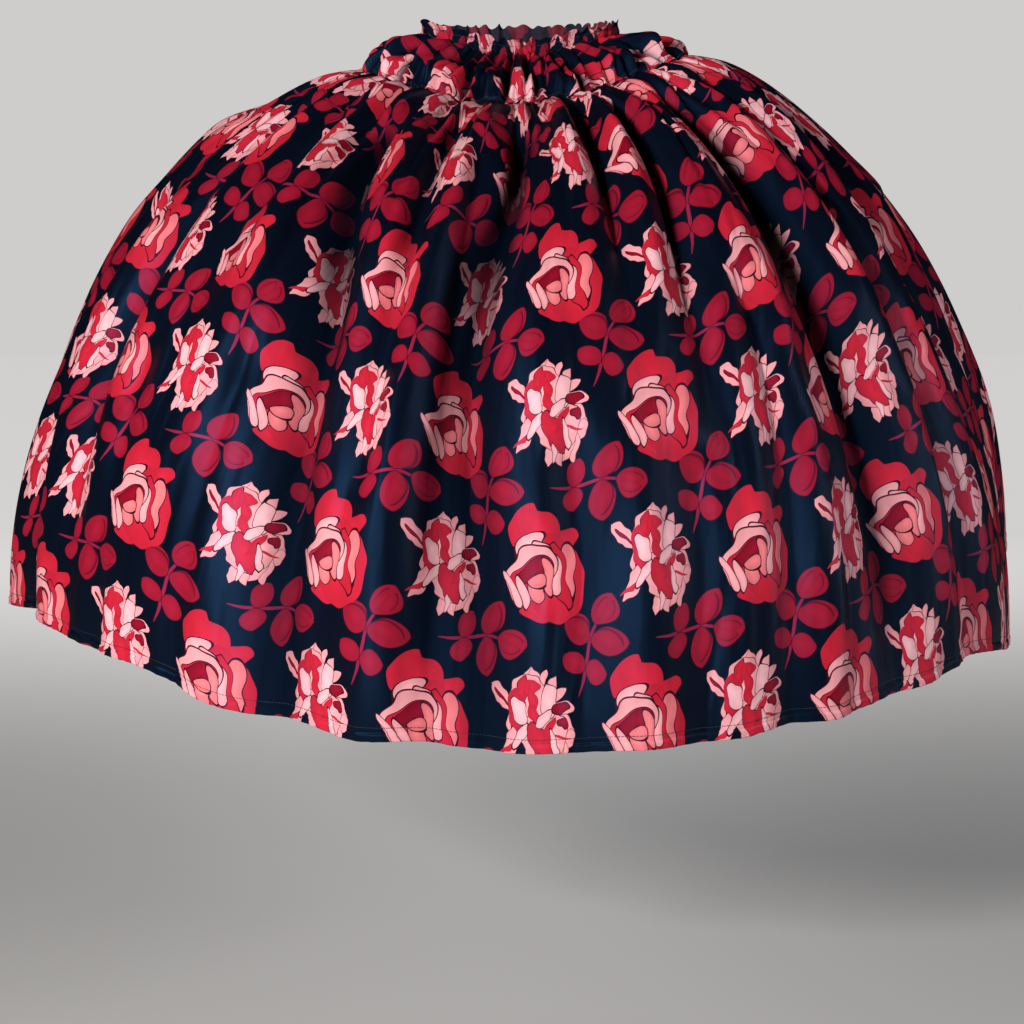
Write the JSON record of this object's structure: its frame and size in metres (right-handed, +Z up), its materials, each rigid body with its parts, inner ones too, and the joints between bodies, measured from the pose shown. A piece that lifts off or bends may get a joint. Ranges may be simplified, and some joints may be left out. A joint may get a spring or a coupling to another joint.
{
  "type": "satin skirt",
  "caption": "Very full gathered satin skirt with an elastic waist, a short puffed yoke and a wide gathered tier, hollow as worn.",
  "frame": {"origin": "middle of the waist at the height of the elastic over the hips, where the skirt is held", "axes": "+Z up out of the waist, the wearer faces -Y and the wearer's left side is at +X"},
  "size_m": [1.1209, 1.0823, 0.684],
  "materials": {
    "satin": "printed satin"
  },
  "bodies": {
    "root": {"yoke_front": "satin", "yoke_back": "satin", "tier_front": "satin", "tier_back": "satin"}
  },
  "joints": []
}
